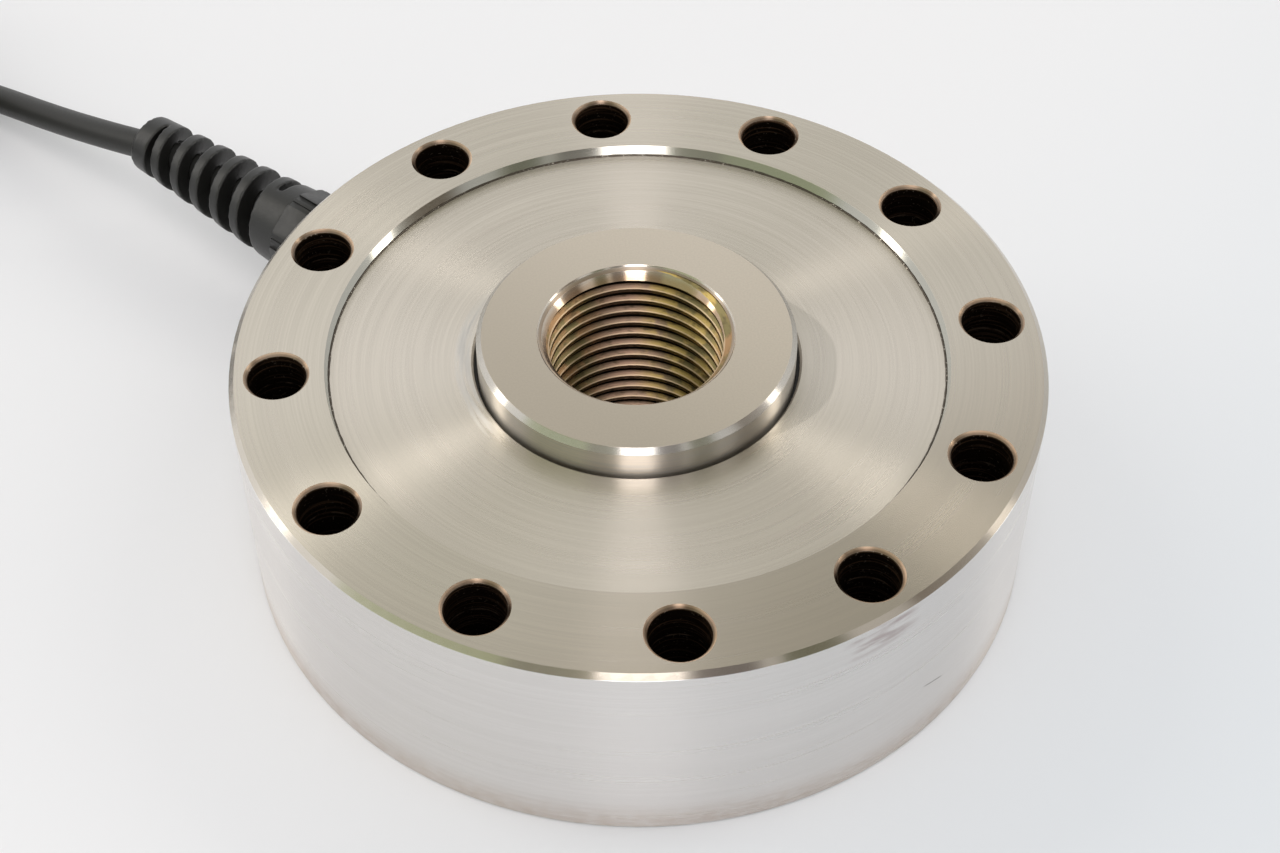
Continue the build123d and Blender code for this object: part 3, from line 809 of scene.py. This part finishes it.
def cable_points(cable):
    """Control points from inside the spiral to the jacket's end on top of the coil."""
    route = [
        (-83.44, 83.44, 22.5), (-90.51, 90.51, 22.5), (-98.29, 97.72, 21.7),
        (-108.26, 106.28, 18.6), (-122.20, 119.80, 13.6), (-137.50, 135.30, 8.6),
    ]
    points = [tuple(value * MM for value in place) for place in route]
    step = 2 * pi / 16
    join = cable.join_angle
    radius, height = wound(cable, join)
    for distance in (37.5 * MM, 27.0 * MM, radius * sin(step / 2)):
        x, y, z = coil_place(cable, join, radius, height)
        points.append((x + distance * sin(join), y - distance * cos(join), z))
    turned_angle = join + step / 2
    last = 2 * pi * COIL_TURNS + cable.tail_end
    leave = 2 * pi * COIL_TURNS + cable.tail_start
    resting = COIL_HIGH.z + TAIL_RISE
    while turned_angle < last:
        radius, height = wound(cable, turned_angle)
        past = degrees(turned_angle - leave)
        height += (resting - height) * smooth(past / 45)
        radius += (cable.coil_radius - radius) * smooth((past - 10) / 50)
        points.append(coil_place(cable, turned_angle, radius / cos(step / 2), height))
        turned_angle += step
    points.append(coil_place(cable, last, cable.coil_radius, resting))
    return points


class LOADCELL_OT_cable(bpy.types.Operator):
    """Lays the cable from the gland to its tied coil"""

    bl_idname = "loadcell.cable"
    bl_label = "Add Cable"

    def execute(self, context):
        cable = context.scene.load_cell.cable
        jacket = moulded(
            "cable jacket", (0.023, 0.023, 0.021), 0.42, grain=1500, depth=0.01 * MM, specular=0.3,
        )
        cord = curve_cord("cable_run", cable_points(cable), cable.diameter, 5, 8)
        finish(cord, jacket)
        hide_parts("cable", "cable_coil", "cable_tail")
        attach(cord, "root")
        mouth = gland_place() @ Vector((0, 0, context.scene.load_cell.nut.end))
        curve_length(cord)
        finish(nodes["cable_in_gland"], jacket)
        return {"FINISHED"}


CORE_COLOURS = {
    "core_red": (0.55, 0.03, 0.03), "core_black": (0.02, 0.02, 0.02), "core_green": (0.03, 0.30, 0.08),
    "core_white": (0.80, 0.80, 0.77), "shield_wire": (0.70, 0.55, 0.08),
}


def core_points(cable, index):
    """Control points of one core, from the jacket's end down onto the coil."""
    count = len(CORE_COLOURS)
    circle = cable.core_circle / 2
    offsets = [circle * cos(radians(90 + 360 * number / count)) for number in range(count)]
    across = offsets[index]
    order = sorted(range(count), key=lambda number: offsets[number])
    fan = 2.5 * MM * (order.index(index) - (count - 1) / 2)
    high = COIL_HIGH.z + TAIL_RISE + circle * sin(radians(90 + 360 * index / count))
    resting = COIL_HIGH.z + 0.05 * MM + cable.core_diameter / 2
    start = cable.tail_end + radians(0.4)
    points = [coil_place(cable, start, cable.coil_radius + across, high)]
    steps = [(1, 0, 0), (12, 0.4, 0.45), (25, 0.9, 1), (39, 1, 1), (52, 1.15, 1)]
    for degrees_past, spread, drop in steps:
        turned_angle = cable.tail_end + SLEEVE_REACH + radians(degrees_past)
        radius = cable.coil_radius + across + (fan - across) * spread
        points.append(coil_place(cable, turned_angle, radius, high + (resting - high) * drop))
    return points


class LOADCELL_OT_cores(bpy.types.Operator):
    """Lays the five cores at the cable's far end"""

    bl_idname = "loadcell.cores"
    bl_label = "Add Cores"

    def execute(self, context):
        cable = context.scene.load_cell.cable
        mouth_angle = cable.tail_end + SLEEVE_REACH
        mouth = coil_place(cable, mouth_angle, cable.coil_radius, COIL_HIGH.z + TAIL_RISE)
        for index, (node, core_colour) in enumerate(CORE_COLOURS.items()):
            is_shield = node == "shield_wire"
            name = "lead_shield" if is_shield else node.replace("core_", "lead_")
            cord = curve_cord(name, core_points(cable, index), cable.core_diameter, 8, 5)
            finish(cord, plain(node, core_colour, 0.35))
            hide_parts(node)
            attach(cord, "root")
            curve_length(cord)
        return {"FINISHED"}


# Gland nut


def boot_profile(nut):
    """Outside of collar and boot: a crowned cone with a rounded mouth."""
    start, end = nut.grip_end - 0.3 * MM, nut.end
    first, middle, last = nut.collar_diameter / 2, nut.waist_diameter / 2, nut.end_diameter / 2
    profile = []
    for share in (index / 24 for index in range(25)):
        bulge = (middle - (first + last) / 2) * (1 - (2 * share - 1) ** 2)
        profile.append((first + share * (last - first) + bulge, start + share * (end - start)))
    return profile


def boot_bore(nut):
    """Room for the claw, the narrow bore through the spiral, and the flared mouth."""
    chamber, bore, mouth = 7.1 * MM, nut.bore_diameter / 2, 5.3 * MM
    return lathe("bore tool", [
        (chamber, nut.grip_end - 1 * MM), (chamber, nut.grip_end + 0.8 * MM),
        (bore, nut.spiral_start - 0.8 * MM), (bore, nut.end - 4 * MM), (mouth, nut.end + 0.1 * MM),
    ], 96)


def spiral_slot(nut):
    """The helical cutter that leaves one spiral rib, as long as the slot."""
    inside, outside, turns = 3.2 * MM, 11 * MM, 7
    half = nut.slot_width / 2 * hypot(1, nut.slot_pitch / (2 * pi * 7 * MM))
    first = nut.spiral_start - 0.6 * MM
    slot = screwed_band("slot tool", [
        (inside, first - half), (outside, first - half), (outside, first + half), (inside, first + half),
    ], nut.slot_pitch, turns, 72)
    keep = lathe("slot length", [(12 * MM, nut.spiral_start), (12 * MM, nut.spiral_end)], 48)
    cut(slot, keep, "INTERSECT")
    return slot


def spiral_boot(nut):
    """Collar and spiral bend protector, with rounded edges."""
    boot = lathe("spiral_nut", boot_profile(nut), 96)
    cut(boot, boot_bore(nut))
    cut(boot, spiral_slot(nut))
    apply_modifier(boot, "REMESH", mode="VOXEL", voxel_size=nut.voxel)
    apply_modifier(boot, "SMOOTH", factor=0.5, iterations=5)
    return boot


def grip_hexagon(nut):
    """Hexagon with turned corners, its bore, and a groove on either side of each corner."""
    deselect_all()
    depth, middle = nut.grip_end - nut.start, (nut.start + nut.grip_end) / 2
    bpy.ops.mesh.primitive_cylinder_add(
        vertices=6, radius=nut.across_flats / 2 / cos(pi / 6), depth=depth,
        location=(0, 0, middle), rotation=(0, 0, pi / 6),
    )
    grip = bpy.context.object
    bpy.ops.object.transform_apply(location=True, rotation=True)
    corner = nut.corner_diameter / 2
    cut(grip, lathe("corner tool", [
        (corner - 0.6 * MM, nut.start - 0.1 * MM), (corner, nut.start + 0.6 * MM),
        (corner, nut.grip_end - 0.3 * MM), (corner - 0.4 * MM, nut.grip_end + 0.1 * MM),
    ], 192), "INTERSECT")
    bore = 7.7 * MM
    cut(grip, lathe("grip bore", [(bore, nut.start - 1 * MM), (bore, nut.grip_end + 1 * MM)], 96))
    for number in range(6):
        for side in (-1, 1):
            turn = radians(60 * number) + side * nut.groove_angle
            deselect_all()
            bpy.ops.mesh.primitive_cube_add(
                size=1, location=(corner * cos(turn), corner * sin(turn), middle),
                rotation=(0, 0, turn), scale=(1.1 * MM, 1.3 * MM, depth + 1 * MM),
            )
            cut(grip, bpy.context.object)
    edge = radians(35)
    apply_modifier(grip, "BEVEL", width=0.12 * MM, segments=2, limit_method="ANGLE", angle_limit=edge)
    shade(grip, 35)
    grip.data.transform(Matrix.Rotation(nut.corner_angle, 4, "Z"))
    return grip


class LOADCELL_OT_gland_nut(bpy.types.Operator):
    """Models the gland nut: grooved hexagon and spiral bend protector in one piece"""

    bl_idname = "loadcell.gland_nut"
    bl_label = "Add Gland Nut"

    def execute(self, context):
        nut = context.scene.load_cell.nut
        boot = spiral_boot(nut)
        grip = grip_hexagon(nut)
        shade(boot, 60)
        deselect_all()
        grip.select_set(True)
        boot.select_set(True)
        context.view_layer.objects.active = boot
        bpy.ops.object.join()
        boot.data.transform(gland_place())
        finish(boot, moulded("gland plastic", (0.010, 0.010, 0.009), 0.37, grain=1300))
        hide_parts("gland_nut")
        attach(boot, "root")
        return {"FINISHED"}


# Body and thread


class LOADCELL_OT_body(bpy.types.Operator):
    """Cuts the centre thread into the sensor body and finishes the turned steel"""

    bl_idname = "loadcell.body"
    bl_label = "Cut Thread"

    def execute(self, context):
        thread = context.scene.load_cell.thread
        steel = context.scene.load_cell.steel
        body = merged_copy("threaded_body", "sensor_body")
        pitch = thread.pitch
        turns = int((HUB_TOP + 2 * pitch) / pitch) + 1
        half, root = thread.crest_gap / 2, thread.root_gap / 2
        tool = screwed_band("thread tool", [
            (thread.crest_radius, -half), (thread.root_radius, -root),
            (thread.root_radius, root), (thread.crest_radius, half),
        ], pitch, turns, 96)
        low = thread.phase_height
        while low > 4.5 * MM:
            low -= pitch
        start = Matrix.Translation((0, 0, low)) @ Matrix.Rotation(thread.phase_angle, 4, "Z")
        tool.data.transform(start)
        cut(body, tool)
        shade(body, 30)
        hole_angles = [2 * pi * number / BOLT_COUNT for number in range(BOLT_COUNT)]
        near_hole = 6.6 * MM
        holes = [(BOLT_CIRCLE_RADIUS * cos(a), BOLT_CIRCLE_RADIUS * sin(a), near_hole) for a in hole_angles]
        turned_normals(body, [*holes, (0, 0, 1)])
        finish(body, body_steel(steel))
        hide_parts("sensor_body")
        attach(body, "root")
        return {"FINISHED"}


class LOADCELL_OT_welds(bpy.types.Operator):
    """Lays the rippled weld bead round the top cover"""

    bl_idname = "loadcell.welds"
    bl_label = "Add Weld Bead"

    def execute(self, context):
        steel = context.scene.load_cell.steel
        deselect_all()
        bpy.ops.mesh.primitive_torus_add(
            major_radius=steel.bead_radius, minor_radius=steel.bead_size, major_segments=1440,
            minor_segments=8, location=(0, 0, COVER_FACE),
        )
        bead = context.object
        bead.name = "cover_bead"
        bpy.ops.object.transform_apply(location=True)
        for vertex in bead.data.vertices:
            turn = atan2(vertex.co.y, vertex.co.x)
            swell = 1 + 0.35 * abs(sin(turn * 180)) + 0.12 * sin(turn * 37 + 1) + 0.1 * sin(turn * 83)
            centre = Vector((cos(turn), sin(turn), 0)) * steel.bead_radius + Vector((0, 0, COVER_FACE))
            vertex.co = centre + (vertex.co - centre) * swell * 0.75
        shade(bead, 60)
        finish(bead, weld_metal())
        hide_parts("top_cover_weld")
        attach(bead, "root")
        return {"FINISHED"}


class LOADCELL_OT_finishes(bpy.types.Operator):
    """Gives the frame's other pieces their finishes"""

    bl_idname = "loadcell.finishes"
    bl_label = "Finish Other Pieces"

    def execute(self, context):
        steel = context.scene.load_cell.steel
        cover = cover_steel(steel)
        plastic = bpy.data.materials["gland plastic"]
        rubber = moulded("seal rubber", (0.03, 0.03, 0.03), 0.6)
        tin = plain("tinned copper", (0.72, 0.72, 0.71), 0.3, 1.0)
        leads = plain("lead insulation", (0.75, 0.72, 0.66), 0.4)
        looks = {
            "top_cover": (cover, "cover_steel"), "bottom_cover": (cover, "cover_steel"),
            "bottom_cover_weld": (bpy.data.materials["weld metal"], "weld_metal"),
            "hub_seal": (rubber, "seal_rubber"), "gland_gasket": (rubber, "seal_rubber"),
            "sealing_bush": (rubber, "seal_rubber"),
            "gland_body": (plastic, "gland_plastic"), "clamping_claw": (plastic, "gland_plastic"),
            "strain_gauges": (plain("gauge foil", (0.55, 0.33, 0.12), 0.4), "gauge_foil"),
            "gauge_pads": (plain("gauge silicone", (0.78, 0.78, 0.75), 0.5), "gauge_silicone"),
            "gauge_leads": (leads, "lead_insulation"), "inner_leads": (leads, "lead_insulation"),
            "terminal_board": (plain("circuit board", (0.05, 0.25, 0.10), 0.4), "circuit_board"),
            "trimming_resistors": (plain("resistor black", (0.03, 0.03, 0.03), 0.3), "resistor_black"),
            "terminal_pins": (tin, "tinned_copper"), "tinned_ends": (tin, "tinned_copper"),
            "coil_ties": (moulded("tie nylon", (0.70, 0.69, 0.65), 0.4), "tie_nylon"),
            "shrink_sleeve": (moulded("sleeve plastic", (0.02, 0.02, 0.02), 0.45), "sleeve_plastic"),
        }
        for node, (material, slot_name) in looks.items():
            finish(nodes[node], material)
        return {"FINISHED"}


# Studio


def add_floor(studio):
    """Pale floor, with painted shade that makes it duller and bluer to the front right."""
    deselect_all()
    bpy.ops.mesh.primitive_plane_add(size=6)
    floor = bpy.context.object
    floor.name = "floor"
    shader = Shader("floor", Roughness=0.6)
    x, y = shader.position()[:2]
    # painted shade on the floor towards the front right
    floor_shade = (x * 0.7 - y * 0.7).step(-0.05, 0.2)
    shader.set("Base Color", shader.mix(floor_shade, tuple(studio.floor), tuple(studio.floor_in_shade)))
    floor.data.materials.append(shader.material)


def room_light(studio):
    """Even light, and in the steel the room's walls, dull ceiling and coloured sides."""
    world = bpy.data.worlds.new("studio")
    world.use_nodes = True
    room = Nodes(world.node_tree)
    background = world.node_tree.nodes["Background"]
    seen = room.add("ShaderNodeLightPath", {}, {}, "Is Camera Ray")
    share = seen.math("MAXIMUM", room.add("ShaderNodeLightPath", {}, {}, "Is Glossy Ray"))
    east, north, up = room.split(room.add("ShaderNodeTexCoord", {}, {}, "Generated"))
    around = north.math("ARCTAN2", east)
    rise = up.band(0.84, 0.08, 0.14)
    low = up.step(0.2, 0.4) * (1 - up.step(0.72, 0.86)) * share
    tone = room.mix(rise * share, (1, 1, 1), (1, 0.985, 0.83))
    sides = (
        (-150, 42, studio.window), (-117, 20, studio.corner), (-74, 13, studio.curtain),
        (-52, 12, studio.shelf), (-15, 20, studio.door),
    )
    for direction, width, side_colour in sides:
        side = around.band(radians(direction), radians(width), radians(4)) * low
        tone = room.mix(side, tone, tuple(side_colour))
    room.connect(background.inputs["Color"], tone)
    pale = studio.walls + rise * (studio.ceiling - studio.walls)
    pale = pale * (1.07 - 0.19 * east.step(-0.35, 0.35))
    pale = pale * (1 - 0.13 * east.math("ABSOLUTE").step(0.15, 0.5))
    room.connect(background.inputs["Strength"], studio.world + share * (pale - studio.world))
    return world


def add_lamp(name, direction, along, power, size, lamp_colour):
    """A soft box that faces the origin, with its long side in the direction along."""
    away = Vector(direction).normalized()
    across = Vector(along).cross(away).normalized()
    deselect_all()
    bpy.ops.object.light_add(type="AREA")
    lamp = bpy.context.object
    lamp.name = name + " soft box"
    facing = Matrix((across, away.cross(across), away)).transposed()
    lamp.matrix_world = Matrix.LocRotScale(away * LAMP_DISTANCE, facing, None)
    lamp.data.shape = "RECTANGLE"
    lamp.data.size, lamp.data.size_y = size
    lamp.data.energy = power
    lamp.data.color = lamp_colour


class LOADCELL_OT_stage(bpy.types.Operator):
    """Adds the pale floor, the room's light and three soft boxes"""

    bl_idname = "loadcell.stage"
    bl_label = "Set Up Studio"

    def execute(self, context):
        studio = context.scene.load_cell.studio
        add_floor(studio)
        context.scene.world = room_light(studio)
        turn = Matrix.Rotation(context.scene.load_cell.camera.azimuth, 3, "Z")
        warm, rosy = (1.0, 0.95, 0.88), (1.0, 0.95, 0.97)
        lamps = {
            "left": ((-0.745, 0.265, 0.612), (0.413, 0.213, 0.424), studio.left, (0.3, 1.6), warm),
            "right": ((0.745, 0.196, 0.637), (-0.468, 0.222, 0.478), studio.right, (0.3, 1.7), warm),
            "front": ((-0.015, -0.523, 0.851), (0.009, 0.2, 0.125), studio.front, (0.58, 1.3), rosy),
        }
        for name, (direction, along, power, size, lamp_colour) in lamps.items():
            add_lamp(name, turn @ Vector(direction), turn @ Vector(along), power, size, lamp_colour)
        context.scene.view_settings.view_transform = "Standard"
        return {"FINISHED"}


class LOADCELL_PT_panel(bpy.types.Panel):
    """Lists the steps that build the load cell"""

    bl_idname = "LOADCELL_PT_panel"
    bl_label = "Load Cell"
    bl_space_type = "VIEW_3D"
    bl_region_type = "UI"
    bl_category = "Load Cell"

    def draw(self, context):
        for operator in OPERATORS:
            self.layout.operator(operator.bl_idname)


OPERATORS = (
    LOADCELL_OT_camera, LOADCELL_OT_cable, LOADCELL_OT_cores, LOADCELL_OT_gland_nut, LOADCELL_OT_body,
    LOADCELL_OT_welds, LOADCELL_OT_finishes, LOADCELL_OT_stage,
)
CLASSES = (
    CameraSettings, CableSettings, NutSettings, ThreadSettings, SteelSettings, StudioSettings,
    LoadCellSettings, *OPERATORS, LOADCELL_PT_panel,
)


def register():
    for each in CLASSES:
        bpy.utils.register_class(each)
    bpy.types.Scene.load_cell = PointerProperty(type=LoadCellSettings)


def unregister():
    del bpy.types.Scene.load_cell
    for each in reversed(CLASSES):
        bpy.utils.unregister_class(each)


def main():
    register()
    for operator in OPERATORS:
        name = operator.bl_idname.split(".")[1]
        getattr(bpy.ops.loadcell, name)()


if __name__ == "__main__":
    main()
